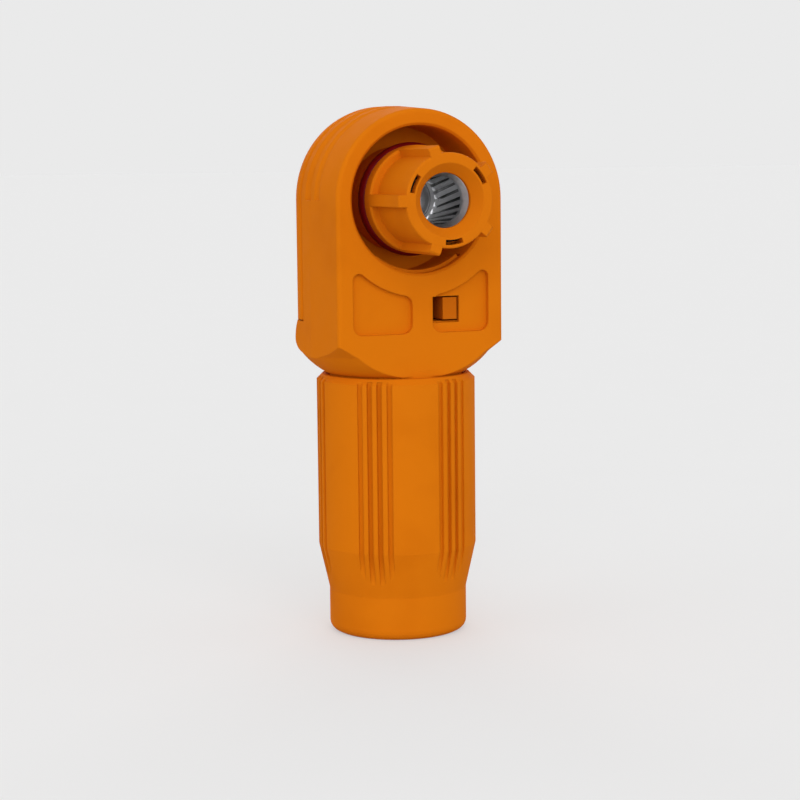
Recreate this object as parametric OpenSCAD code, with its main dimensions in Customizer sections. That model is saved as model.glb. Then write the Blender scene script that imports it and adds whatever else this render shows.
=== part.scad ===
// Right-angle energy storage plug: a round-topped head with a finger-safe socket nose, a conical neck
// and a long fluted gland nut. The cable axis is Z and the cable enters at z = 0. The socket's axis
// runs along Y and its nose points to -Y. Depths along the socket's axis are counted forwards from
// the cable axis, so a negative depth lies behind it.

/* [Head] */
// Height of the socket's axis above the neck's foot
socket_rise = 30.4; // [28:0.1:34]
// Depth of the front face
face_front = 11.6; // [11.4:0.1:12.4]
// Half width of the head behind the grips
head_r = 16.1; // [15.9:0.05:17]
// How much narrower each flank is at the front face
flank_draft = 0.65; // [0.3:0.05:1]
// Depth at which the flanks reach their full width
draft_end = 0.4; // [-1:0.1:2]
// Rounding of the front face's edge
face_fillet = 0.7; // [0.3:0.1:1.2]
// Distance from the back of the cavity's floor to the parting line
parting_room = 2.9; // [2.6:0.1:3.4]
// Gap between the housing and the rear cover
parting_gap = 0.2; // [0.1:0.05:0.4]
// Bevel on each side of the parting line
parting_bevel = 0.45; // [0.2:0.05:0.7]

/* [Grips] */
// Depth of the two scalloped grip grooves
grip_depth = 0.5; // [0.2:0.05:0.6]
// Width of a grip groove
grip_w = 2.9; // [2:0.1:3.2]
// Spacing of the grip grooves
grip_pitch = 3.75; // [3.4:0.05:4]
// Distance from the parting line to the middle of the front groove
grip_setback = 7.4; // [6.6:0.1:7.8]

/* [Cavity] */
// Room between the keys and the wall of the round cavity
mate_room = 3.35; // [3:0.05:3.7]
// Depth of the cavity from the front face
cavity_depth = 10.7; // [10:0.1:11]
// Thickness of the cavity's floor
floor_wall = 1.6; // [1.4:0.1:1.8]
// Bevel round the cavity's mouth
mouth_bevel = 0.4; // [0.2:0.1:0.6]

/* [Front panels] */
// Depth of the two recessed panels
panel_depth = 0.9; // [0.5:0.1:1]
// Width of the band between the cavity and the panels
panel_band = 4.0; // [3.6:0.1:4.6]
// Height of the panels' lower edge above the neck's foot
panel_rise = 7.5; // [7:0.05:8.2]
// Width of the flank left outside each panel
panel_side = 2.75; // [2.3:0.05:3.6]
// Distance from the middle to the left panel
panel_left_inner = 1.7; // [1.4:0.1:2.4]
// Distance from the middle to the right panel
panel_right_inner = 2.05; // [1.6:0.05:2.4]
// Corner radius of the panels
panel_corner = 1.7; // [1:0.1:2.2]
// Radius of the panels' upper outer corners
panel_tip = 1.15; // [0.8:0.05:1.6]
// Width of the window for the button's peg
window_w = 5.4; // [4.8:0.1:5.8]
// Gap below the peg in the window
window_gap = 0.5; // [0.3:0.05:0.6]

/* [Neck] */
// Gap between the nut's top and the neck's foot
neck_gap = 0.15; // [0.1:0.05:0.3]
// Step from the spigot out to the neck's foot
neck_step = 0.4; // [0.05:0.05:0.6]
// Height of the neck's flare
flare_rise = 3.65; // [3.4:0.05:4]
// Radius at the top of the flare
flare_r = 16.5; // [16:0.1:16.9]
// How far the flare bulges out of the straight line between its ends
flare_bulge = 0.3; // [0.1:0.05:0.5]
// Lean of the flare's upper end from the vertical
flare_lean = 51.3; // [48:0.1:54]
// How far the collar behind the head stands out of the flare's upper end
collar_step = 1.15; // [0.8:0.05:1.6]
// Height of the collar's flat top above the neck's foot
collar_rise = 9.25; // [9:0.05:9.5]
// Radius of the collar's barrel-shaped side
collar_barrel = 12; // [8:0.5:20]

/* [Nose] */
// Length of the nose from the cavity's floor
nose_rise = 22.5; // [21.5:0.1:24]
// Wall of the nose tube
nose_tube_wall = 0.93; // [0.85:0.01:1.2]
// Width of the nose's front ring round the funnel
nose_ring_w = 1.73; // [1.65:0.01:1.9]
// Length of the funnel
funnel_length = 1.8; // [1.2:0.1:2.2]
// Step from the contact's bore out to the finger-safe hole
orifice_step = 0.54; // [0.4:0.02:0.7]
// Thickness of the nose's front wall
nose_wall = 2.5; // [2.3:0.1:3]
// Number of coding keys
key_count = 5; // [3:1:6]
// Width of a key
key_w = 2.0; // [1.4:0.1:2.6]
// Height of the keys and the flange over the nose tube
key_h = 1.32; // [1.1:0.02:1.6]
// Distance from the cavity's floor to the flange's front face
flange_rise = 10.4; // [10:0.1:10.8]
// Thickness of the flange
flange_t = 2.5; // [2:0.1:2.8]
// Width of the seal groove
seal_groove_w = 2.6; // [2.2:0.1:2.8]
// Depth of the seal groove
seal_groove_d = 1.35; // [1:0.05:1.4]
// Thickness of the thin rim behind the seal
rim_t = 0.8; // [0.6:0.1:1.2]
// Number of arc slots in the front ring
slot_count = 3; // [2:1:4]
// Angle spanned by one arc slot
slot_angle = 26; // [18:1:30]
// Wall between the nose's outside and the arc slots
slot_land = 0.58; // [0.5:0.02:0.7]
// Width of the arc slots
slot_w = 0.85; // [0.7:0.05:0.9]
// Wall of the hub that turns in the cavity floor
hub_wall = 1.6; // [1.4:0.1:1.8]
// Running clearance of the hub, on the radius
journal_clear = 0.08; // [0.03:0.01:0.1]
// Thickness of the touch guard's sleeve
guard_wall = 0.95; // [0.8:0.05:1.1]
// How far the seal stands out of its groove
seal_bulge = 0.5; // [0.1:0.05:0.5]

/* [Contact] */
// Radius of the socket for the mating pin
pin_bore_r = 4.06; // [4.03:0.01:4.1]
// Room round the pin's socket for the strips
strip_room = 0.74; // [0.7:0.02:0.8]
// Wall of the contact barrel
barrel_wall = 0.85; // [0.8:0.05:1]
// Depth of the barrel's bore
barrel_bore_depth = 14.2; // [13:0.1:15]
// Number of slanted contact strips
strip_count = 20; // [12:1:22]
// Width of a strip
strip_w = 0.8; // [0.5:0.05:0.85]
// Thickness of a strip
strip_t = 0.18; // [0.12:0.02:0.2]
// Slant of the strips
strip_slant = 11; // [8:1:18]
// Length of the funnel ring in the contact's mouth
crown_ring_l = 1.7; // [1.4:0.1:2]
// Length of the cage's rear band
rear_band_l = 1.5; // [1:0.1:2]

/* [Lug] */
// Bore for the bare conductor
conductor_r = 4.9; // [4.4:0.1:5.1]
// Wall of the lug's crimp barrel
lug_wall = 1.6; // [1.4:0.1:1.8]
// Room between the crimp barrel and the neck's bore
lug_room = 1.0; // [0.9:0.05:1.1]
// Height of the crimp barrel's upper end above the neck's foot
lug_rise = 4.85; // [4.4:0.05:5.2]
// Length of the crimp barrel
lug_length = 16; // [15:0.1:17]
// Length of the lug's flattened shoulder
shoulder_l = 5; // [4.5:0.1:5.5]
// Depth of the conductor's bore
conductor_depth = 14.5; // [12:0.1:14.8]
// Thickness of the lug's palm
palm_t = 2.2; // [2:0.1:2.3]
// Half width of the lug's palm
palm_half_w = 7.2; // [6.8:0.1:7.3]
// Radius of the screw's shank
screw_r = 2.45; // [2:0.05:2.6]
// Thickness of the screw's head
screw_head_t = 1.8; // [1.6:0.1:2]
// Length of the screw's thread in the contact
tap_depth = 5; // [4:0.5:6]

/* [Button and latch] */
// Travel of the release button
button_travel = 2.0; // [1.6:0.1:2.1]
// Drop of the latch for each unit of button travel
cam_ratio = 0.8; // [0.6:0.05:0.9]
// How far the arc catch stands into the cavity
catch_proud = 0.5; // [0.4:0.05:0.8]
// Width of the catch, along the radius
catch_w = 1.8; // [1.5:0.1:1.8]
// Half the angle spanned by the arc catch
catch_half_angle = 38; // [30:1:39]
// Thickness of the latch plate
latch_t = 2.2; // [1.8:0.1:2.3]
// Height of the latch's bar
bar_h = 1.8; // [1.5:0.1:2]
// Distance from the front face to the latch plate
latch_setback = 1.9; // [1.7:0.1:2.2]
// Clearance round the sliding pieces
slide_clear = 0.3; // [0.2:0.05:0.35]
// Width of the peg in the window
peg_w = 2.65; // [2.4:0.05:3.2]
// Height of the peg and the arms
peg_h = 3.8; // [3.4:0.1:4]
// How far the peg's front lies behind the panels' floor
peg_recess = 0.3; // [0:0.05:0.5]
// Thickness of the button's arms
arm_w = 2; // [1.6:0.1:2]
// Room between the arms and the rear cover's lip
arm_room = 0.7; // [0.5:0.05:1]
// Half width of the thumb pad
pad_half_w = 6.3; // [5.5:0.1:6.8]
// Height of the thumb pad
pad_h = 5.6; // [5:0.1:6]
// How far the thumb pad stands out of the rear cover
pad_out = 2.3; // [2.2:0.1:3]
// Radius of a latch spring, to the middle of its wire
spring_coil_r = 0.95; // [0.85:0.05:1]
// Radius of the spring wire
spring_wire_r = 0.2; // [0.15:0.01:0.22]
// Depth of the pockets under the latch springs
spring_pocket = 3.2; // [2.8:0.1:3.6]

/* [Rear cover] */
// Room between the screw's head and the cover
cover_room = 0.9; // [0.5:0.1:1.6]
// Length of the cover's straight rim
cover_rim = 1.3; // [1:0.1:1.6]
// How far the cover's flat back lies inside its rim
cover_shoulder = 4.3; // [3.6:0.1:5]
// Thickness of the cover
cover_wall = 1.4; // [1.2:0.1:1.5]
// Wall of the head round the chamber behind the cavity floor
head_wall = 2.9; // [2.6:0.1:3.1]
// How much narrower the chamber is below the socket
chamber_step = 1.2; // [0.9:0.1:1.4]
// Thickness of the cover's lip
lip_t = 1.2; // [1:0.1:1.3]
// Depth of the gasket in front of the cover's lip
gasket_w = 1.8; // [1.5:0.1:2]
// Height of the gasket's lower ends above the chamber's floor
gasket_rise = 5; // [4.6:0.1:6]
// Wall of the ring that holds the palm down
boss_wall = 1.4; // [1.2:0.1:1.6]

/* [Gland] */
// Radius of the nut's grip
nut_r = 14.0; // [13.8:0.1:15]
// Height of the nut
nut_height = 46.0; // [43:0.5:52]
// Wall of the nut round the spigot
nut_wall = 2.21; // [2.1:0.01:2.5]
// How much narrower the nut's lower end is, on the radius
nut_end_step = 1.8; // [1.2:0.1:2]
// Height of the nut's lower straight part
nut_end_height = 7.6; // [6.5:0.1:9]
// Height of the nut's taper
nut_taper_h = 8; // [6.5:0.1:9.5]
// Rounding of the nut's lower edge
nut_end_round = 1.6; // [0.8:0.1:1.8]
// Bevel of the nut's upper edge
nut_top_bevel = 1.0; // [0.5:0.1:1]
// Radius of the nut's cable hole
cable_hole_r = 8.3; // [8:0.1:8.5]
// Thickness of the nut's end wall
nut_end_wall = 2.6; // [2:0.1:3]
// Number of flute groups
flute_groups = 6; // [4:1:8]
// Flutes in a group
flutes_per_group = 4; // [2:1:4]
// Angle between neighbouring flutes
flute_pitch = 7.5; // [7:0.5:9]
// Width of a flute
flute_w = 0.9; // [0.8:0.1:1.4]
// Depth of the flutes at the middle of a group
flute_depth = 0.75; // [0.5:0.05:0.9]
// Height of the flutes' lower ends above the nut's straight end
flute_run = 2.3; // [1.5:0.1:3]
// Distance from the nut's upper face to the flutes, which start within the upper bevel
flute_land = 0.45; // [0.3:0.05:0.45]
// Clearance of the nut on the spigot, on the radius
spigot_clear = 0.09; // [0.05:0.01:0.1]
// Length of the housing's spigot below the neck
spigot_length = 26.15; // [25:0.05:27.5]
// Wall of the spigot round the cable seal
spigot_wall = 1.3; // [1.2:0.1:1.5]
// Length of the seat for the cable seal
seat_length = 14; // [13:0.1:14.4]
// Radius of the cable seal's hole
sheath_r = 7.4; // [7:0.1:7.6]
// Radius of the neck seal's wire
neck_seal_wire = 0.45; // [0.4:0.01:0.55]
// Distance from the neck's foot down to the neck seal's groove
neck_seal_drop = 3; // [2.5:0.1:5]
// Height of the claw's ring
claw_ring_t = 2.9; // [2.4:0.1:3.4]
// Number of clamp fingers
finger_count = 8; // [6:1:10]
// Gap between clamp fingers
finger_gap = 1.2; // [0.8:0.1:1.6]

/* [Hidden] */
$fn = 72;

housing_orange = [0.84, 0.44, 0.05];
seal_red = [0.36, 0.04, 0.12];
silver = [0.72, 0.72, 0.74];
steel = [0.6, 0.61, 0.63];
silicone = [0.25, 0.25, 0.27];
claw_grey = [0.2, 0.2, 0.22];

// Gap between solids that seat on each other
seat_gap = 0.1;
// Small overlap that lets a cut run clean through a face
through = 1;

neck_bottom = nut_height + neck_gap;
socket_height = neck_bottom + socket_rise;
collar_top = neck_bottom + collar_rise;
flare_top = neck_bottom + flare_rise;
collar_r = flare_r + collar_step;
foot_round = collar_step / (1 - cos(flare_lean));
collar_middle = flare_top + foot_round * sin(flare_lean);
head_r_front = head_r - flank_draft;

barrel_bore_r = pin_bore_r + strip_room;
barrel_r = barrel_bore_r + barrel_wall;
guard_in = barrel_r + slide_clear;
guard_out = guard_in + guard_wall;
insert_bore_r = guard_out + seat_gap;
nose_r = insert_bore_r + nose_tube_wall;
journal_r = insert_bore_r + hub_wall;
key_r = nose_r + key_h;
seal_groove_r = key_r - seal_groove_d;
orifice_r = pin_bore_r + orifice_step;
funnel_r = nose_r - nose_ring_w;
slot_r_out = nose_r - slot_land;
slot_r_in = slot_r_out - slot_w;
cavity_r = key_r + mate_room;

floor_front = face_front - cavity_depth;
floor_back = floor_front - floor_wall;
parting_back = parting_room - floor_back;
nose_front = floor_front + nose_rise;
flange_front = floor_front + flange_rise;
flange_back = flange_front - flange_t;
rim_front = flange_back - seal_groove_w;
rim_back = rim_front - rim_t;
hub_back = floor_front + slide_clear;
clip_t = 0.8;
clip_groove = 0.7;
clip_front = floor_back - slide_clear;
insert_back = clip_front - clip_t - 0.3;
nose_inside = nose_front - nose_wall;
orifice_front = nose_front - funnel_length;
contact_front = nose_inside - 0.2;
contact_back = insert_back - 0.3;
guard_back = floor_front - 0.4;
barrel_bore_end = contact_front - barrel_bore_depth;

lug_r = conductor_r + lug_wall;
neck_bore_r = lug_r + lug_room;
lug_top = neck_bottom + lug_rise;
lug_bottom = lug_top - lug_length;
palm_front = contact_back;
palm_back = palm_front - palm_t;
palm_neck_w = sqrt(pow(neck_bore_r - 0.25, 2) - pow(palm_back, 2));
washer_t = 0.7;
screw_head_r = 4.25;
screw_head_front = palm_back - washer_t;
screw_head_back = screw_head_front - screw_head_t;
boss_gap = 1.2;

cover_front = -parting_back - parting_gap;
cover_inside = screw_head_back - cover_room;
cover_back = cover_wall - cover_inside;
cover_flat_r = head_r - cover_shoulder;
chamber_r = head_r - head_wall;
chamber_half_w = chamber_r - chamber_step;
lip_front = floor_back - gasket_w - 2 * seat_gap;

panel_arc_r = cavity_r + panel_band;
panel_bottom = neck_bottom + panel_rise;
panel_outer = head_r_front - panel_side;

arm_outer = chamber_half_w - lip_t - seat_gap - arm_room;
arm_inner = arm_outer - arm_w;
mech_floor = collar_top + 0.1;
arm_bottom = mech_floor + slide_clear;
arm_top = arm_bottom + peg_h;
mech_top = arm_top + slide_clear;
mech_half_w = arm_outer + slide_clear;
window_bottom = arm_bottom - window_gap;
window_top = arm_top + slide_clear - 0.05;
latch_front = face_front - latch_setback;
latch_back = latch_front - latch_t;
latch_drop = button_travel * cam_ratio;
latch_room_front = latch_front + 0.2;
latch_room_back = latch_back - 0.2;
bar_top = arm_bottom - slide_clear;
bar_bottom = bar_top - bar_h;
room_bottom = bar_bottom - latch_drop - slide_clear;
stem_half_w = panel_right_inner - 0.35;
catch_r = cavity_r - catch_proud;
catch_r_out = catch_r + catch_w;
catch_room_r = catch_r_out + latch_drop + slide_clear;
peg_right = panel_right_inner + window_w - slide_clear;
peg_front = face_front - panel_depth - peg_recess;
ramp_l = 2.2;
web_front = latch_back - slide_clear;
web_back = web_front - 1.9;
crossbar_back = cover_inside + 0.2;
crossbar_front = crossbar_back + 0.9;
nose_tip = web_front + 0.2;
spring_x = 5;
spring_bottom = room_bottom - spring_pocket;
spring_turns = 4;

nut_bore_r = nut_r - nut_wall;
nut_end_r = nut_r - nut_end_step;
nut_taper_top = nut_end_height + nut_taper_h;
spigot_r = nut_bore_r - spigot_clear;
spigot_bottom = neck_bottom - spigot_length;
neck_r_bottom = spigot_r + neck_step;
neck_groove_r = spigot_r - 2 * neck_seal_wire - 0.05;
neck_groove_top = neck_bottom - neck_seal_drop;
neck_groove_bottom = neck_groove_top - 2 * neck_seal_wire - seat_gap;
seat_r = spigot_r - spigot_wall;
seat_top = spigot_bottom + seat_length;
follower_t = 1.5;
seal_bottom = spigot_bottom + follower_t + 3 * seat_gap;
slip_t = 0.75;
slip_gap = 0.05;
washer_r_out = cable_hole_r + 1;
nut_cone_r = washer_r_out + 0.2;
claw_ring_top = spigot_bottom - seat_gap;
claw_ring_bottom = claw_ring_top - claw_ring_t;
claw_root = claw_ring_bottom - 2;
claw_bottom = nut_end_wall + slip_gap + slip_t + slide_clear;
nut_cone_top = claw_root - 2;
lead_in = 0.5;
flute_floor = nut_r - flute_depth;
flute_top = nut_height - flute_land;
flute_bottom = nut_end_height + flute_run;
flute_bottom_r = nut_end_r + nut_end_step * flute_run / nut_taper_h;

// Points along an arc of radius r about [cx, cy], from angle a to angle b
function arc(cx, cy, r, a, b, steps) =
    [for (i = [0:steps]) [cx + r * cos(a + (b - a) * i / steps), cy + r * sin(a + (b - a) * i / steps)]];

// Stands its children on the socket's axis, with their +Z pointing forwards out of the nose
module on_socket_axis() {
    translate([0, 0, socket_height]) rotate([90, 0, 0]) children();
}

// Extrudes an outline seen from the front, between two depths
module between_depths(front, back) {
    rotate([90, 0, 0]) translate([0, 0, back]) linear_extrude(height = front - back) children();
}

// A ring with inner radius a and outer radius b between heights low and high
module ring(a, b, low, high) {
    translate([0, 0, low]) difference() {
        cylinder(r = b, h = high - low);
        translate([0, 0, -through]) cylinder(r = a, h = high - low + 2 * through);
    }
}

// A sector of a ring, from angle start over angle span
module ring_sector(a, b, low, high, start, span) {
    rotate([0, 0, start]) rotate_extrude(angle = span)
        translate([a, low]) square([b - a, high - low]);
}

// Half section of the housing's head: half width against depth
function head_section() = concat(
    [[0, -parting_back], [head_r - parting_bevel, -parting_back],
     [head_r, -parting_back + parting_bevel], [head_r, draft_end]],
    arc(head_r_front - face_fillet, face_front - face_fillet, face_fillet, 0, 90, 4),
    [[0, face_front]]);

// Half section of the rear cover's outside: half width against depth
function cover_section() = concat(
    [[0, -cover_back], [cover_flat_r, -cover_back]],
    [for (a = [15:15:75]) [cover_flat_r + cover_shoulder * sin(a),
        cover_front - cover_rim - (cover_back + cover_front - cover_rim) * cos(a)]],
    [[head_r, cover_front - cover_rim], [head_r, cover_front - parting_bevel],
     [head_r - parting_bevel, cover_front], [0, cover_front]]);

function mirrored(points) = concat(points, [for (i = [len(points) - 1:-1:0]) [-points[i][0], points[i][1]]]);

// A body with a round top about the socket and straight flanks down to a height
module round_topped(points, bottom) {
    on_socket_axis() rotate_extrude(angle = 180) polygon(points);
    translate([0, 0, bottom]) linear_extrude(height = socket_height - bottom)
        mirror([0, 1]) polygon(mirrored(points));
}

// Outline of the chamber behind the cavity floor, shrunk by a margin
module chamber_outline(margin) {
    translate([0, socket_height]) circle(chamber_r - margin);
    translate([margin - chamber_half_w, mech_floor])
        square([2 * (chamber_half_w - margin), socket_height - mech_floor]);
}

// Plan of the head's foot: the front face and flanks, run on behind the collar
module foot_outline() {
    back = -collar_r - 2;
    mirror([0, 1]) polygon(mirrored(concat(
        [[0, back], [head_r, back], [head_r, draft_end]],
        arc(head_r_front - face_fillet, face_front - face_fillet, face_fillet, 0, 90, 4),
        [[0, face_front]])));
}

// Half section of the neck's flare: radius against height, from the neck's foot upwards
function flare_points() =
    let (dr = flare_r - neck_r_bottom, run = sqrt(dr * dr + flare_rise * flare_rise), n = 8)
    [for (i = [0:n]) let (t = i / n, out = 4 * t * (1 - t) * flare_bulge / run)
        [neck_r_bottom + t * dr + out * flare_rise, neck_bottom + t * flare_rise - out * dr]];

// Everything above the neck's flare, which runs on straight above its upper end
module above_flare() {
    reach = 2 * socket_rise;
    rotate_extrude() polygon(concat([[0, neck_bottom]], flare_points(),
        [[flare_r + reach * tan(flare_lean), flare_top + reach], [0, flare_top + reach]]));
}

module neck_collar() {
    barrel_end = asin((collar_top - collar_middle) / collar_barrel);
    rotate_extrude() polygon(concat([[0, neck_bottom]], flare_points(),
        arc(collar_r - foot_round, collar_middle, foot_round, -0.85 * flare_lean, 0, 6),
        arc(collar_r - collar_barrel, collar_middle, collar_barrel, barrel_end / 4, barrel_end, 3),
        [[0, collar_top]]));
}

module grip_grooves() {
    scallop_r = (grip_w * grip_w / 4 + grip_depth * grip_depth) / (2 * grip_depth);
    on_socket_axis() for (i = [0:1]) rotate_extrude(angle = 180)
        translate([head_r - grip_depth + scallop_r, grip_setback - parting_back - i * grip_pitch])
            circle(scallop_r);
}

// Outline of a panel from x = a to x = b, with its rounded upper corners lying against the arc
function panel_points(a, b) =
    let (c = panel_corner, t = panel_tip, reach_c = panel_arc_r + c, reach_t = panel_arc_r + t,
        drop_a = sqrt(reach_c * reach_c - (a + c) * (a + c)),
        drop_b = sqrt(reach_t * reach_t - (b - t) * (b - t)))
    concat(arc(a + c, panel_bottom + c, c, 180, 270, 5),
        arc(b - c, panel_bottom + c, c, 270, 360, 5),
        arc(b - t, socket_height - drop_b, t, 0, atan2(drop_b, t - b), 7),
        arc(0, socket_height, panel_arc_r, atan2(-drop_b, b - t), atan2(-drop_a, a + c), 8),
        arc(a + c, socket_height - drop_a, c, atan2(drop_a, -a - c), 180, 5));

module front_panels() {
    between_depths(face_front + through, face_front - panel_depth) {
        polygon(panel_points(panel_right_inner, panel_outer));
        mirror([1, 0]) polygon(panel_points(panel_left_inner, panel_outer));
    }
}

// Space for the button's frame under the cavity, with a deeper well in front for the latch
module mechanism_room() {
    rotate([90, 0, 90]) translate([0, 0, -mech_half_w]) linear_extrude(height = 2 * mech_half_w)
        polygon([[parting_back + through, mech_floor], [parting_back + through, mech_top],
            [-latch_room_front, mech_top], [-latch_room_front, room_bottom],
            [-latch_room_back, room_bottom], [-latch_room_back, mech_floor]]);
}

module latch_room() {
    between_depths(latch_room_front - 0.05, latch_room_back + 0.05)
        translate([-stem_half_w - slide_clear, mech_floor + 1])
            square([2 * (stem_half_w + slide_clear), socket_height - cavity_r - mech_floor]);
    on_socket_axis() ring_sector(cavity_r - through, catch_room_r, latch_room_back, latch_room_front,
        270 - catch_half_angle - 2, 2 * catch_half_angle + 4);
}

module housing() {
    color(housing_orange) difference() {
        union() {
            intersection() {
                round_topped(head_section(), neck_bottom);
                above_flare();
            }
            intersection() {
                neck_collar();
                translate([0, 0, neck_bottom]) linear_extrude(height = socket_rise) foot_outline();
            }
            translate([0, 0, spigot_bottom]) cylinder(r = spigot_r, h = spigot_length + through);
        }
        grip_grooves();
        front_panels();
        latch_room();
        on_socket_axis() {
            translate([0, 0, floor_front]) cylinder(r = cavity_r, h = cavity_depth + through);
            translate([0, 0, face_front - mouth_bevel])
                cylinder(r1 = cavity_r, r2 = cavity_r + 2 * mouth_bevel, h = 2 * mouth_bevel);
            translate([0, 0, floor_back - through])
                cylinder(r = journal_r + journal_clear, h = floor_wall + 2 * through);
        }
        between_depths(floor_back, -parting_back - through) chamber_outline(0);
        mechanism_room();
        between_depths(face_front + through, latch_room_back)
            translate([panel_right_inner, window_bottom]) square([window_w, window_top - window_bottom]);
        translate([0, 0, spigot_bottom - through])
            cylinder(r = neck_bore_r, h = mech_floor - spigot_bottom + 2 * through);
        translate([0, 0, spigot_bottom - through]) cylinder(r = seat_r, h = seat_length + through);
        ring(neck_groove_r, spigot_r + through, neck_groove_bottom, neck_groove_top);
        for (x = [-spring_x, spring_x]) translate([x, -(latch_front + latch_back) / 2, spring_bottom])
            cylinder(r = spring_coil_r + spring_wire_r + 0.1, h = spring_pocket + through);
    }
}

module rear_cover() {
    color(housing_orange) {
        difference() {
            round_topped(cover_section(), collar_top + 0.2);
            between_depths(cover_front + through, cover_inside) intersection() {
                chamber_outline(lip_t + seat_gap);
                translate([-chamber_r, mech_floor + 0.5]) square([2 * chamber_r, 3 * chamber_r]);
            }
            between_depths(cover_front + through, cover_inside)
                translate([-chamber_half_w + lip_t + seat_gap, mech_floor - through])
                    square([2 * (chamber_half_w - lip_t - seat_gap), 3 * through]);
            between_depths(cover_inside + through, -cover_back - through)
                translate([-pad_half_w - slide_clear, arm_bottom + 0.8 - slide_clear])
                    square([2 * (pad_half_w + slide_clear), pad_h + 2 * slide_clear]);
        }
        between_depths(lip_front, cover_front) difference() {
            chamber_outline(seat_gap);
            chamber_outline(lip_t + seat_gap);
            translate([-chamber_half_w + lip_t + seat_gap, mech_floor - through])
                square([2 * (chamber_half_w - lip_t - seat_gap), 2 + through]);
        }
        on_socket_axis() ring(screw_head_r + boss_gap, screw_head_r + boss_gap + boss_wall,
            cover_inside, palm_back - seat_gap);
    }
}

module rear_cover_seal() {
    color(silicone) between_depths(floor_back - seat_gap, lip_front + seat_gap) difference() {
        chamber_outline(seat_gap + 0.05);
        chamber_outline(lip_t);
        translate([-chamber_half_w, mech_floor - through])
            square([2 * chamber_half_w, gasket_rise + through]);
    }
}

module socket_contact() {
    color(silver) on_socket_axis() difference() {
        translate([0, 0, contact_back]) cylinder(r = barrel_r, h = contact_front - contact_back);
        translate([0, 0, barrel_bore_end]) cylinder(r = barrel_bore_r, h = barrel_bore_depth + through);
        translate([0, 0, barrel_bore_end - 1.6]) cylinder(r = pin_bore_r - 0.2, h = 1.6 + through);
        translate([0, 0, contact_back - through]) cylinder(r = screw_r + 0.05, h = tap_depth + through);
    }
}

// The cage: a rear band, a thin front band and the slanted strips that join them
module crown_spring() {
    band_r = barrel_bore_r - 0.06;
    rear_front = barrel_bore_end + 0.2 + rear_band_l;
    front_back = contact_front - crown_ring_l - seat_gap - 0.6;
    middle = (rear_front + front_back) / 2;
    strip_l = (front_back - rear_front + 0.8) / cos(strip_slant);
    color(silver) on_socket_axis() {
        ring(pin_bore_r, band_r, rear_front - rear_band_l, rear_front);
        ring(pin_bore_r + 0.15, band_r, front_back, front_back + 0.6);
        for (i = [0:strip_count - 1]) rotate([0, 0, i * 360 / strip_count])
            translate([0, pin_bore_r + 0.03 + strip_t / 2, middle]) rotate([0, -strip_slant, 0])
                cube([strip_w, strip_t, strip_l], center = true);
    }
}

module crown_ring() {
    color(silver) on_socket_axis() rotate_extrude() polygon([
        [pin_bore_r, contact_front - crown_ring_l], [barrel_bore_r - 0.05, contact_front - crown_ring_l],
        [barrel_bore_r - 0.05, contact_front], [barrel_bore_r - 0.15, contact_front],
        [pin_bore_r, contact_front - crown_ring_l + 0.6]]);
}

module cable_lug() {
    palm_start = lug_top + shoulder_l;
    palm_full = mech_top + palm_half_w - palm_neck_w;
    color(silver) difference() {
        union() {
            translate([0, 0, lug_bottom]) cylinder(r = lug_r, h = lug_top - lug_bottom);
            hull() {
                translate([0, 0, lug_top - 0.3]) cylinder(r = lug_r, h = 0.3, $fn = 32);
                between_depths(palm_front, palm_back)
                    translate([-palm_neck_w, palm_start]) square([2 * palm_neck_w, 0.3]);
            }
            between_depths(palm_front, palm_back) {
                polygon([[-palm_neck_w, palm_start], [palm_neck_w, palm_start],
                    [palm_neck_w, mech_top], [palm_half_w, palm_full],
                    [palm_half_w, socket_height], [-palm_half_w, socket_height],
                    [-palm_half_w, palm_full], [-palm_neck_w, mech_top]]);
                translate([0, socket_height]) circle(palm_half_w);
            }
        }
        translate([0, 0, lug_bottom - through]) cylinder(r = conductor_r, h = conductor_depth + through);
        on_socket_axis() translate([0, 0, palm_back - through])
            cylinder(r = screw_r + 0.15, h = palm_t + 2 * through);
    }
}

module contact_screw() {
    color(steel) on_socket_axis() difference() {
        union() {
            translate([0, 0, screw_head_back]) cylinder(r = screw_head_r, h = screw_head_t);
            translate([0, 0, screw_head_front - through])
                cylinder(r = screw_r, h = contact_back + tap_depth - 0.6 - screw_head_front + through);
        }
        translate([0, 0, screw_head_back - through]) cylinder(r = 2.3, h = 1.1 + through, $fn = 6);
    }
}

module spring_washer() {
    color(steel) on_socket_axis()
        ring_sector(screw_r + 0.15, screw_head_r - 0.1, screw_head_front, palm_back, 100, 350);
}

module contact_seal() {
    wire = (insert_bore_r - barrel_r) / 2 - 0.08;
    color(silicone) on_socket_axis() rotate_extrude()
        translate([(insert_bore_r + barrel_r) / 2, (guard_back + insert_back) / 2]) circle(wire);
}

// Half section of the turning insert: radius against depth
function insert_section() = [
    [orifice_r, nose_inside], [orifice_r, orifice_front], [funnel_r, nose_front],
    [nose_r - 0.3, nose_front], [nose_r - 0.09, nose_front - 0.09], [nose_r, nose_front - 0.3],
    [nose_r, flange_front],
    [key_r - 0.3, flange_front], [key_r, flange_front - 0.3], [key_r, flange_back],
    [seal_groove_r, flange_back], [seal_groove_r, rim_front], [key_r, rim_front], [key_r, rim_back],
    [key_r - 0.2, rim_back], [key_r - 0.2, hub_back], [journal_r, hub_back],
    [journal_r, clip_front], [journal_r - clip_groove, clip_front],
    [journal_r - clip_groove, clip_front - clip_t - 0.05],
    [journal_r, clip_front - clip_t - 0.05], [journal_r, insert_back], [insert_bore_r, insert_back],
    [insert_bore_r, nose_inside]];

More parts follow.
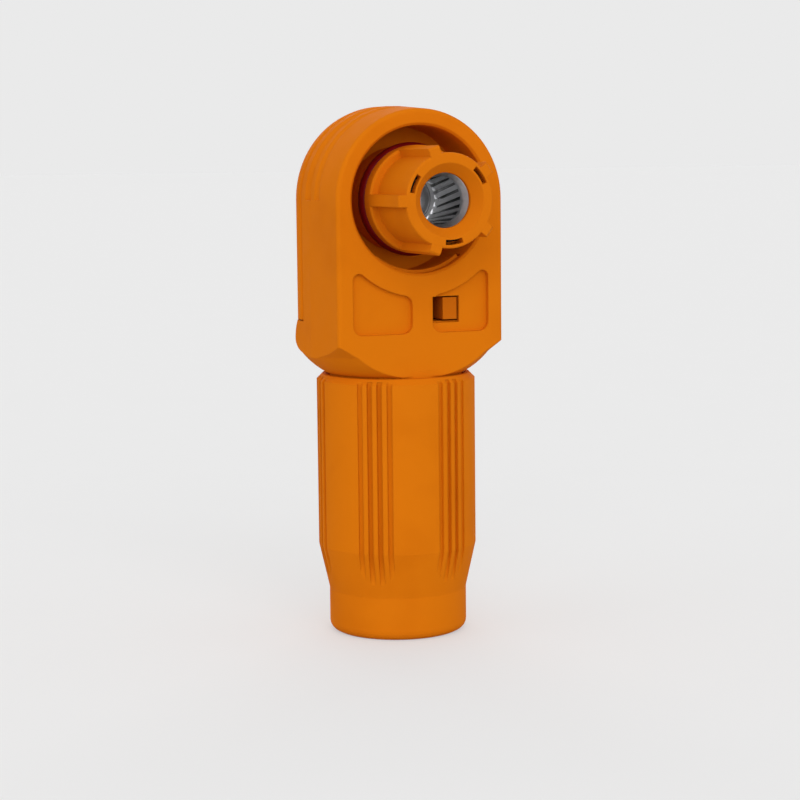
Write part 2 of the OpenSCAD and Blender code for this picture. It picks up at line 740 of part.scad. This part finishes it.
module keyed_insert() {
    color(housing_orange) on_socket_axis() difference() {
        union() {
            rotate_extrude() polygon(insert_section());
            for (i = [0:key_count - 1]) rotate([90, 0, 36 + i * 360 / key_count])
                translate([0, 0, -key_w / 2]) linear_extrude(height = key_w) polygon([
                    [nose_r - 0.5, flange_front - 0.5], [key_r - 0.02, flange_front - 0.5],
                    [key_r - 0.02, nose_front - 0.35], [key_r - 0.35, nose_front - 0.02],
                    [nose_r - 0.5, nose_front - 0.02]]);
        }
        for (i = [0:slot_count - 1])
            ring_sector(slot_r_in, slot_r_out, nose_inside - 0.5, nose_front + through,
                36 - slot_angle / 2 + i * 360 / slot_count, slot_angle);
    }
}

module touch_guard() {
    tab_angle = slot_angle - 3;
    color(claw_grey) on_socket_axis() {
        ring(guard_in, guard_out, guard_back, nose_inside - seat_gap);
        for (i = [0:slot_count - 1])
            ring_sector(slot_r_in + 0.05, guard_out - 0.05, nose_inside - 1, nose_front - 1.3,
                36 - tab_angle / 2 + i * 360 / slot_count, tab_angle);
    }
}

module interface_seal() {
    middle = (flange_back + rim_front) / 2;
    half = seal_groove_w / 2 - 0.05;
    shoulder = key_r - 0.35;
    color(seal_red) on_socket_axis() rotate_extrude() polygon(concat(
        [[seal_groove_r + 0.05, middle - half]],
        [for (a = [-90:15:90]) [shoulder + (key_r + seal_bulge - shoulder) * cos(a), middle + half * sin(a)]],
        [[seal_groove_r + 0.05, middle + half]]));
}

module insert_retainer() {
    color(steel) on_socket_axis()
        ring_sector(journal_r - 0.6, journal_r + 1.2, clip_front - clip_t, clip_front, 110, 320);
}

module release_button() {
    color(housing_orange) {
        for (side = [0, 1]) mirror([side, 0, 0]) {
            rotate([90, 0, 90]) translate([0, 0, arm_inner]) linear_extrude(height = arm_outer - arm_inner)
                polygon([[-crossbar_back, arm_bottom], [-nose_tip + ramp_l, arm_bottom],
                    [-nose_tip, arm_bottom + ramp_l * cam_ratio], [-nose_tip, arm_top],
                    [-crossbar_back, arm_top]]);
        }
        between_depths(peg_front, web_back)
            translate([peg_right - peg_w, arm_bottom]) square([peg_w, peg_h]);
        between_depths(web_front, web_back)
            translate([peg_right - through, arm_bottom + ramp_l * cam_ratio])
                square([arm_inner - peg_right + 2 * through, peg_h - ramp_l * cam_ratio]);
        between_depths(crossbar_front, crossbar_back) {
            translate([-arm_outer, arm_bottom]) square([2 * arm_outer, peg_h]);
            translate([-pad_half_w - 0.9, arm_bottom]) square([2 * pad_half_w + 1.8, pad_h + 1.6]);
        }
        between_depths(crossbar_front, -cover_back - pad_out)
            translate([-pad_half_w, arm_bottom + 0.8]) square([2 * pad_half_w, pad_h]);
    }
}

module latch_slide() {
    ear_back_top = arm_bottom + (ramp_l - (nose_tip - latch_back)) * cam_ratio - slide_clear;
    ear_front_top = ear_back_top + latch_t * cam_ratio;
    color(housing_orange) {
        on_socket_axis() ring_sector(catch_r, catch_r_out, latch_back + 0.1, latch_front - 0.1,
            270 - catch_half_angle, 2 * catch_half_angle);
        between_depths(latch_front, latch_back) {
            translate([-stem_half_w, bar_bottom])
                square([2 * stem_half_w, socket_height - catch_r - 1 - bar_bottom]);
            translate([-arm_outer + 0.1, bar_bottom]) square([2 * arm_outer - 0.2, bar_top - bar_bottom]);
        }
        for (side = [0, 1]) mirror([side, 0, 0])
            rotate([90, 0, 90]) translate([0, 0, arm_inner + 0.3])
                linear_extrude(height = arm_outer - arm_inner - 0.5)
                    polygon([[0.05 - latch_front, bar_bottom + 0.5], [-0.05 - latch_back, bar_bottom + 0.5],
                        [-0.05 - latch_back, ear_back_top], [0.05 - latch_front, ear_front_top]]);
    }
}

// Level section through a coil's wire, which reaches further round the coil as the pitch gets finer
function wire_section(coil_r, wire_r, pitch) =
    let (n = 6, reach = 360 * wire_r / pitch,
        at = [for (i = [0:n]) reach * (2 * i / n - 1)],
        half = [for (a = at) sqrt(max(0, wire_r * wire_r - pow(pitch * a / 360, 2)))])
    concat([for (i = [0:n]) (coil_r + half[i]) * [cos(at[i]), sin(at[i])]],
        [for (i = [n - 1:-1:1]) (coil_r - half[i]) * [cos(at[i]), sin(at[i])]]);

module latch_springs() {
    height = bar_bottom - spring_bottom - 0.2;
    color(steel) for (x = [-spring_x, spring_x])
        translate([x, -(latch_front + latch_back) / 2, spring_bottom + 0.1])
            linear_extrude(height = height, twist = -360 * spring_turns, slices = 12 * spring_turns, $fn = 12)
                polygon(wire_section(spring_coil_r, spring_wire_r, height / spring_turns));
}

module cable_seal() {
    rib = 0.5;
    rib_pitch = (seat_top - seal_bottom) / 5;
    color(silicone) rotate_extrude() polygon(concat(
        [[seat_r - seat_gap, seal_bottom], [seat_r - seat_gap, seat_top - seat_gap]],
        [for (i = [5:-1:1]) each [
            [sheath_r, seal_bottom + i * rib_pitch - seat_gap],
            [sheath_r, seal_bottom + (i - 0.5) * rib_pitch],
            [sheath_r + rib, seal_bottom + (i - 0.6) * rib_pitch],
            [sheath_r + rib, seal_bottom + (i - 0.85) * rib_pitch]]],
        [[sheath_r + rib, seal_bottom]]));
}

module seal_follower() {
    color(claw_grey)
        translate([0, 0, spigot_bottom + seat_gap]) ring(sheath_r + 0.4, seat_r - seat_gap, 0, follower_t);
}

module clamp_claw() {
    tip_r = nut_cone_r - 0.2;
    grip_r = sheath_r + 0.4;
    root_r = nut_bore_r - 0.8;
    color(claw_grey) difference() {
        rotate_extrude() polygon([
            [grip_r, claw_bottom], [tip_r, claw_bottom],
            [root_r, claw_root], [nut_bore_r - 0.5, claw_ring_bottom],
            [nut_bore_r - 0.5, claw_ring_top], [grip_r, claw_ring_top]]);
        for (i = [0:finger_count - 1]) rotate([0, 0, i * 360 / finger_count])
            translate([0, -finger_gap / 2, claw_bottom - through])
                cube([2 * nut_bore_r, finger_gap, claw_ring_bottom - 0.5 - claw_bottom + through]);
    }
}

module neck_seal() {
    color(silicone) rotate_extrude()
        translate([spigot_r - neck_seal_wire, (neck_groove_top + neck_groove_bottom) / 2])
            circle(neck_seal_wire);
}

module slip_washer() {
    color(steel) translate([0, 0, nut_end_wall + slip_gap]) ring(cable_hole_r + 0.1, washer_r_out, 0, slip_t);
}

// Half section of the nut: radius against height
function nut_section() = concat(
    [[cable_hole_r, 0]],
    arc(nut_end_r - nut_end_round, nut_end_round, nut_end_round, -90, 0, 5),
    [[nut_end_r, nut_end_height], [nut_r, nut_taper_top], [nut_r, nut_height - nut_top_bevel],
     [nut_r - nut_top_bevel, nut_height], [nut_bore_r + lead_in, nut_height],
     [nut_bore_r, nut_height - lead_in], [nut_bore_r, nut_cone_top],
     [nut_cone_r, nut_end_wall], [cable_hole_r, nut_end_wall]]);

module gland_nut() {
    color(housing_orange) difference() {
        rotate_extrude() polygon(nut_section());
        for (g = [0:flute_groups - 1]) rotate([0, 0, g * 360 / flute_groups - 129])
            for (i = [0:flutes_per_group - 1]) {
                across = flute_floor * tan((i - (flutes_per_group - 1) / 2) * flute_pitch);
                translate([0, across + flute_w / 2, 0]) rotate([90, 0, 0]) linear_extrude(height = flute_w)
                    polygon([[flute_floor, flute_top], [nut_r + through, flute_top],
                        [nut_r + through, nut_end_height], [flute_bottom_r, nut_end_height],
                        [flute_bottom_r, flute_bottom + flute_w], [flute_floor, nut_taper_top]]);
            }
    }
}

housing();
rear_cover();
rear_cover_seal();
socket_contact();
crown_spring();
crown_ring();
cable_lug();
contact_screw();
spring_washer();
contact_seal();
keyed_insert();
touch_guard();
interface_seal();
insert_retainer();
release_button();
latch_slide();
latch_springs();
cable_seal();
seal_follower();
clamp_claw();
neck_seal();
slip_washer();
gland_nut();
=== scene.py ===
"""Looks for the right-angle battery plug: materials, floor, lights and camera."""
import math

import bmesh
import bpy
from mathutils import Matrix, Vector


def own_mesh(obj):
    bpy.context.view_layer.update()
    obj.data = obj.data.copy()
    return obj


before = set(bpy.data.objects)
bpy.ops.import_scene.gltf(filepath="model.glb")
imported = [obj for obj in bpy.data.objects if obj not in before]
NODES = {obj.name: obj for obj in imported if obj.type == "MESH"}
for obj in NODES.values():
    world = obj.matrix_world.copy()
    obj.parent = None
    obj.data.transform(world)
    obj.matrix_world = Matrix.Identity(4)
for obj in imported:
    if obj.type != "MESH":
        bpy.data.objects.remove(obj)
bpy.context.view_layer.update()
scene = bpy.context.scene

# Most values of a noise texture lie between these two
NOISE_LOW, NOISE_HIGH = 0.3, 0.7

# Sockets of the Mix node when it mixes colours
MIX_FACTOR, MIX_A, MIX_B, MIX_RESULT = 0, 6, 7, 2

# Cosines between the flat and the rounded normal at which the painted edge highlight starts and is strongest
EDGE_START, EDGE_FULL = 0.97, 0.80
# Greatest share of the pale edge colour in the painted edge highlight
EDGE_HIGHLIGHT = 0.3
BEVEL_SAMPLES = 6


def srgb(r, g, b):
    """Linear colour of an 8-bit sRGB triple."""
    def one(v):
        v = v / 255.0
        return v / 12.92 if v <= 0.04045 else ((v + 0.055) / 1.055) ** 2.4
    return (one(r), one(g), one(b), 1.0)


class Nodes:
    """Small helper to build one material's node tree."""

    def __init__(self, name):
        self.mat = bpy.data.materials.new(name)
        self.mat.use_nodes = True
        self.tree = self.mat.node_tree
        self.tree.nodes.clear()
        self.out = self.add("ShaderNodeOutputMaterial")
        self.bsdf = self.add("ShaderNodeBsdfPrincipled")
        self.link(self.bsdf.outputs[0], self.out.inputs["Surface"])

    def add(self, kind, **props):
        node = self.tree.nodes.new(kind)
        for key, value in props.items():
            setattr(node, key, value)
        return node

    def link(self, a, b):
        self.tree.links.new(a, b)

    def coords(self):
        return self.add("ShaderNodeTexCoord").outputs["Object"]

    def noise(self, at, scale, detail, rough):
        """Noise at a place, with scale in cycles per metre."""
        node = self.add("ShaderNodeTexNoise")
        node.inputs["Scale"].default_value = scale
        node.inputs["Detail"].default_value = detail
        node.inputs["Roughness"].default_value = rough
        self.link(at, node.inputs["Vector"])
        return node.outputs["Fac"]

    def spread(self, fac, low, high, a, b):
        """Maps fac from low..high to a..b, held inside."""
        node = self.add("ShaderNodeMapRange")
        self.link(fac, node.inputs["Value"])
        for key, value in (("From Min", low), ("From Max", high), ("To Min", a), ("To Max", b)):
            node.inputs[key].default_value = value
        return node.outputs["Result"]

    def vary(self, noise, a, b):
        """Spreads a noise over a..b."""
        return self.spread(noise, NOISE_LOW, NOISE_HIGH, a, b)

    def tint(self, noise, deep, base, full=1.0):
        """Colour that goes from deep to base over the first part of a noise, or over all of it."""
        node = self.add("ShaderNodeValToRGB")
        first, last = node.color_ramp.elements
        first.color, last.color = deep, base
        last.position = full
        self.link(self.vary(noise, 0.0, 1.0), node.inputs["Fac"])
        return node.outputs["Color"]

    def mix(self, fac, a, b):
        """Mixes two colours, each a socket or a plain colour, by the socket fac."""
        node = self.add("ShaderNodeMix", data_type="RGBA")
        for index, value in ((MIX_FACTOR, fac), (MIX_A, a), (MIX_B, b)):
            if isinstance(value, bpy.types.NodeSocket):
                self.link(value, node.inputs[index])
            else:
                node.inputs[index].default_value = value
        return node.outputs[MIX_RESULT]

    def soft_edge(self, radius):
        """Normal that rounds the edges off within a radius in metres."""
        node = self.add("ShaderNodeBevel", samples=BEVEL_SAMPLES)
        node.inputs["Radius"].default_value = radius
        return node.outputs["Normal"]

    def painted_edge_highlight(self, soft):
        """Painted edge highlight: 0 on open faces, rising along edges to the highlight's full strength, from
        a rounded normal.
        """
        geometry = self.add("ShaderNodeNewGeometry")
        dot = self.add("ShaderNodeVectorMath", operation="DOT_PRODUCT")
        self.link(soft, dot.inputs[0])
        self.link(geometry.outputs["Normal"], dot.inputs[1])
        return self.spread(dot.outputs["Value"], EDGE_START, EDGE_FULL, 0.0, EDGE_HIGHLIGHT)

    def bump(self, heights, normal=None):
        """Chains bumps given as (height socket, strength, distance in metres) on a normal."""
        last = normal
        for height, strength, distance in heights:
            node = self.add("ShaderNodeBump")
            node.inputs["Strength"].default_value = strength
            node.inputs["Distance"].default_value = distance
            self.link(height, node.inputs["Height"])
            if last is not None:
                self.link(last, node.inputs["Normal"])
            last = node.outputs["Normal"]
        self.link(last, self.bsdf.inputs["Normal"])

    def shader(self, values):
        """Sets values on the shader's own sockets."""
        for key, value in values.items():
            self.bsdf.inputs[key].default_value = value


# Heights of the bumps in metres, and how strongly they show
GRAIN_HEIGHT, FLOW_HEIGHT, LINE_HEIGHT = 0.00002, 0.00004, 0.00001
FLOW_BUMP, SILICONE_BUMP, LINE_BUMP = 0.1, 0.2, 0.006
PLASTIC_IOR = 1.3
SILICONE_ROUGH, SILICONE_EDGE = (0.34, 0.52), 0.0001
SHEEN_ROUGH = 0.5


def moulded(name, deep, base, light, rough=(0.64, 0.76), grain=0.2, gloss=0.05, edge=0.00028):
    """Matt moulded plastic: soft mottling, a fine spark-eroded grain and a painted highlight that pales the
    rounded edges.
    """
    n = Nodes(name)
    at = n.coords()
    soft = n.soft_edge(edge)
    mottle = n.noise(at, scale=70.0, detail=2.0, rough=0.5)
    flow = n.noise(at, scale=260.0, detail=4.0, rough=0.55)
    fine = n.noise(at, scale=5200.0, detail=3.0, rough=0.6)
    colour = n.tint(mottle, deep, base, full=0.5)
    # Rounded edges are mixed towards the pale colour: a painted highlight
    n.link(n.mix(n.painted_edge_highlight(soft), colour, light), n.bsdf.inputs["Base Color"])
    n.link(n.vary(flow, *rough), n.bsdf.inputs["Roughness"])
    n.bump([(fine, grain, GRAIN_HEIGHT), (flow, FLOW_BUMP, FLOW_HEIGHT)], soft)
    n.shader({"IOR": PLASTIC_IOR, "Specular IOR Level": gloss})
    return n.mat


def silicone(name, deep, base, sheen=0.0, gloss=0.2):
    """Soft silicone rubber with a fine grain. Sheen gives it a faint bloom."""
    n = Nodes(name)
    at = n.coords()
    cloud = n.noise(at, scale=320.0, detail=3.0, rough=0.5)
    fine = n.noise(at, scale=3600.0, detail=3.0, rough=0.6)
    n.link(n.tint(cloud, deep, base), n.bsdf.inputs["Base Color"])
    n.link(n.vary(fine, *SILICONE_ROUGH), n.bsdf.inputs["Roughness"])
    n.bump([(fine, SILICONE_BUMP, GRAIN_HEIGHT)], n.soft_edge(SILICONE_EDGE))
    n.shader({"Specular IOR Level": gloss, "Sheen Weight": sheen, "Sheen Roughness": SHEEN_ROUGH})
    return n.mat


def metal(name, dark, bright, rough, squeeze):
    """Turned or rolled metal. Its fine lines run along the axis that squeeze scales least."""
    n = Nodes(name)
    at = n.coords()
    squeezed = n.add("ShaderNodeMapping")
    squeezed.inputs["Scale"].default_value = squeeze
    n.link(at, squeezed.inputs["Vector"])
    lines = n.noise(squeezed.outputs["Vector"], scale=6.0, detail=4.0, rough=0.6)
    cloud = n.noise(at, scale=240.0, detail=2.0, rough=0.5)
    n.link(n.tint(cloud, dark, bright), n.bsdf.inputs["Base Color"])
    n.link(n.vary(lines, *rough), n.bsdf.inputs["Roughness"])
    n.bump([(lines, LINE_BUMP, LINE_HEIGHT)])
    n.shader({"Metallic": 1.0})
    return n.mat


# This paler orange, and the third colour given to each moulded plastic below, is the painted highlight on
# rounded edges
ORANGE_EDGE_HIGHLIGHT = srgb(226, 126, 24)
LINES_ALONG_Y, LINES_ALONG_Z = (900.0, 60.0, 900.0), (900.0, 900.0, 60.0)

shell = moulded("orange_shell", srgb(209, 110, 9), srgb(216, 116, 11), ORANGE_EDGE_HIGHLIGHT)
inner = moulded("orange_insert", srgb(206, 108, 9), srgb(213, 114, 11), ORANGE_EDGE_HIGHLIGHT,
                rough=(0.6, 0.72), grain=0.16, gloss=0.06, edge=0.0002)
button = moulded("orange_button", srgb(190, 96, 10), srgb(198, 102, 12), ORANGE_EDGE_HIGHLIGHT, edge=0.0002)
black_and_slot_shade = moulded("black_plastic", srgb(14, 12, 11), srgb(20, 18, 17), srgb(44, 40, 38), gloss=0.3)
grey_rubber = silicone("grey_silicone", srgb(60, 60, 63), srgb(74, 74, 78), sheen=0.2)
red_rubber = silicone("red_silicone", srgb(96, 6, 8), srgb(112, 10, 14), gloss=0.12)
# Two copies of one silver: the barrel's is darker as painted shade deep in the bore, and the crown's much
# brighter as painted light near its mouth
shaded_silver = metal("silver_plate", srgb(138, 138, 139), srgb(152, 152, 153), (0.3, 0.36), LINES_ALONG_Y)
lit_silver = metal("silver_painted_light", srgb(226, 227, 229), srgb(238, 239, 240), (0.3, 0.34), LINES_ALONG_Y)
steel = metal("spring_steel", srgb(150, 151, 153), srgb(178, 179, 181), (0.3, 0.42), LINES_ALONG_Z)

LOOK = {
    "housing": shell, "rear_cover": shell, "gland_nut": shell,
    "keyed_insert": inner, "latch_slide": inner, "release_button": button,
    # The touch guard is black so that it darkens the slots it shows through: painted shade
    "touch_guard": black_and_slot_shade, "seal_follower": black_and_slot_shade, "clamp_claw": black_and_slot_shade,
    "rear_cover_seal": grey_rubber, "contact_seal": grey_rubber,
    "cable_seal": grey_rubber, "neck_seal": grey_rubber, "interface_seal": red_rubber,
    "socket_contact": shaded_silver, "cable_lug": shaded_silver, "crown_spring": lit_silver, "crown_ring": lit_silver,
    "contact_screw": steel, "spring_washer": steel, "insert_retainer": steel,
    "latch_springs": steel, "slip_washer": steel,
}
for name, material in LOOK.items():
    data = NODES[name].data
    data.materials.clear()
    data.materials.append(material)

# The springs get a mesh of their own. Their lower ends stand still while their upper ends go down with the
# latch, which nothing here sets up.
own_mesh(NODES["latch_springs"])

# Camera: the photograph's viewpoint, worked out from the outlines of the nut, the head and the cavity
YAW, PITCH, ROLL = (math.radians(v) for v in (23.607, 6.826, -0.614))
AIM = Vector((0.0, 0.0, 0.05))
DISTANCE, SHIFT_X, SHIFT_Y, NEAREST = 0.359085, 0.000827, -0.009010, 0.01
LENS_MM, SENSOR_MM = 91.25, 36.0
back = Vector((-math.sin(YAW) * math.cos(PITCH), -math.cos(YAW) * math.cos(PITCH), math.sin(PITCH)))
right = Vector((math.cos(YAW), -math.sin(YAW), 0.0))
up = back.cross(right)
cam_x = math.cos(ROLL) * right + math.sin(ROLL) * up
cam_y = -math.sin(ROLL) * right + math.cos(ROLL) * up
place = AIM + cam_x * SHIFT_X + cam_y * SHIFT_Y + back * DISTANCE

camera_data = bpy.data.cameras.new("camera")
camera_data.lens = LENS_MM
camera_data.sensor_width = SENSOR_MM
camera_data.sensor_fit = "HORIZONTAL"
camera_data.clip_start = NEAREST
camera = bpy.data.objects.new("camera", camera_data)
scene.collection.objects.link(camera)
camera.matrix_world = Matrix((
    (cam_x.x, cam_y.x, back.x, place.x),
    (cam_x.y, cam_y.y, back.y, place.y),
    (cam_x.z, cam_y.z, back.z, place.z),
    (0.0, 0.0, 0.0, 1.0),
))
scene.camera = camera

WHITE = (1.0, 1.0, 1.0, 1.0)
PALE = srgb(234, 234, 234)

# The floor is seen partly as even PALE and partly as a lighter grey that takes the shade, and it lights the
# object as a darker floor would
FLOOR_SHADED, FLOOR_LIGHTING = srgb(241, 241, 241), srgb(200, 200, 200)
FLOOR_EVEN, FLOOR_SPECK = 0.5, 0.1
FLOOR_HALF_WIDTH, FLOOR_CELLS = 12.0, 4


def seen_directly(tree):
    """1 on rays from the camera, off a glossy surface or through glass, and 0 on all others."""
    path = tree.nodes.new("ShaderNodeLightPath")
    last = path.outputs["Is Camera Ray"]
    for ray in ("Is Glossy Ray", "Is Transmission Ray"):
        either = tree.nodes.new("ShaderNodeMath")
        either.operation = "MAXIMUM"
        tree.links.new(last, either.inputs[0])
        tree.links.new(path.outputs[ray], either.inputs[1])
        last = either.outputs[0]
    return last


def floor_material():
    """Matt floor: what is seen of it is partly even and partly shaded, so it keeps a soft shadow."""
    n = Nodes("floor")
    n.tree.nodes.remove(n.bsdf)
    speck = n.noise(n.coords(), scale=40.0, detail=2.0, rough=0.5)
    shaded = n.add("ShaderNodeBsdfDiffuse")
    n.link(n.mix(n.vary(speck, 0.0, FLOOR_SPECK), FLOOR_SHADED, PALE), shaded.inputs["Color"])
    even = n.add("ShaderNodeEmission")
    even.inputs["Color"].default_value = PALE
    seen = n.add("ShaderNodeMixShader")
    seen.inputs["Fac"].default_value = FLOOR_EVEN
    n.link(shaded.outputs[0], seen.inputs[1])
    n.link(even.outputs[0], seen.inputs[2])
    lighting = n.add("ShaderNodeBsdfDiffuse")
    lighting.inputs["Color"].default_value = FLOOR_LIGHTING
    final = n.add("ShaderNodeMixShader")
    n.link(seen_directly(n.tree), final.inputs["Fac"])
    n.link(lighting.outputs[0], final.inputs[1])
    n.link(seen.outputs[0], final.inputs[2])
    n.link(final.outputs[0], n.out.inputs["Surface"])
    return n.mat


floor_mesh = bpy.data.meshes.new("floor")
grid = bmesh.new()
bmesh.ops.create_grid(grid, x_segments=FLOOR_CELLS, y_segments=FLOOR_CELLS, size=FLOOR_HALF_WIDTH)
grid.to_mesh(floor_mesh)
grid.free()
floor = bpy.data.objects.new("floor", floor_mesh)
scene.collection.objects.link(floor)
floor_mesh.materials.append(floor_material())

# Soft dome: the camera and reflections see the pale backdrop, and all else gets white light that weakens from
# the horizon upwards
DOME_HORIZON, DOME_TOP = 1.0, 0.5
world = bpy.data.worlds.new("studio")
scene.world = world
world.use_nodes = True
tree = world.node_tree
tree.nodes.clear()
direction = tree.nodes.new("ShaderNodeSeparateXYZ")
tree.links.new(tree.nodes.new("ShaderNodeTexCoord").outputs["Generated"], direction.inputs[0])
fall_off = tree.nodes.new("ShaderNodeMapRange")
tree.links.new(direction.outputs["Z"], fall_off.inputs["Value"])
fall_off.inputs["To Min"].default_value = DOME_HORIZON
fall_off.inputs["To Max"].default_value = DOME_TOP
light = tree.nodes.new("ShaderNodeBackground")
light.inputs["Color"].default_value = WHITE
tree.links.new(fall_off.outputs["Result"], light.inputs["Strength"])
backdrop = tree.nodes.new("ShaderNodeBackground")
backdrop.inputs["Color"].default_value = PALE
sky = tree.nodes.new("ShaderNodeMixShader")
tree.links.new(seen_directly(tree), sky.inputs["Fac"])
tree.links.new(light.outputs[0], sky.inputs[1])
tree.links.new(backdrop.outputs[0], sky.inputs[2])
tree.links.new(sky.outputs[0], tree.nodes.new("ShaderNodeOutputWorld").inputs["Surface"])

SUN_ANGLE = math.radians(60)


def soft_sun(name, source, strength):
    """Soft-edged light from a direction. At strength 1 it lights a facing surface as a white sky would."""
    data = bpy.data.lights.new(name, "SUN")
    data.energy = strength * math.pi
    data.angle = SUN_ANGLE
    lamp = bpy.data.objects.new(name, data)
    scene.collection.objects.link(lamp)
    lamp.rotation_euler = Vector(source).to_track_quat("Z", "Y").to_euler()


soft_sun("key", (-0.22, -0.92, 0.3), 0.42)
soft_sun("side", (-0.95, -0.1, 0.15), 0.12)
soft_sun("fill", (0.35, 0.85, 0.4), 0.3)

scene.view_settings.view_transform = "Standard"
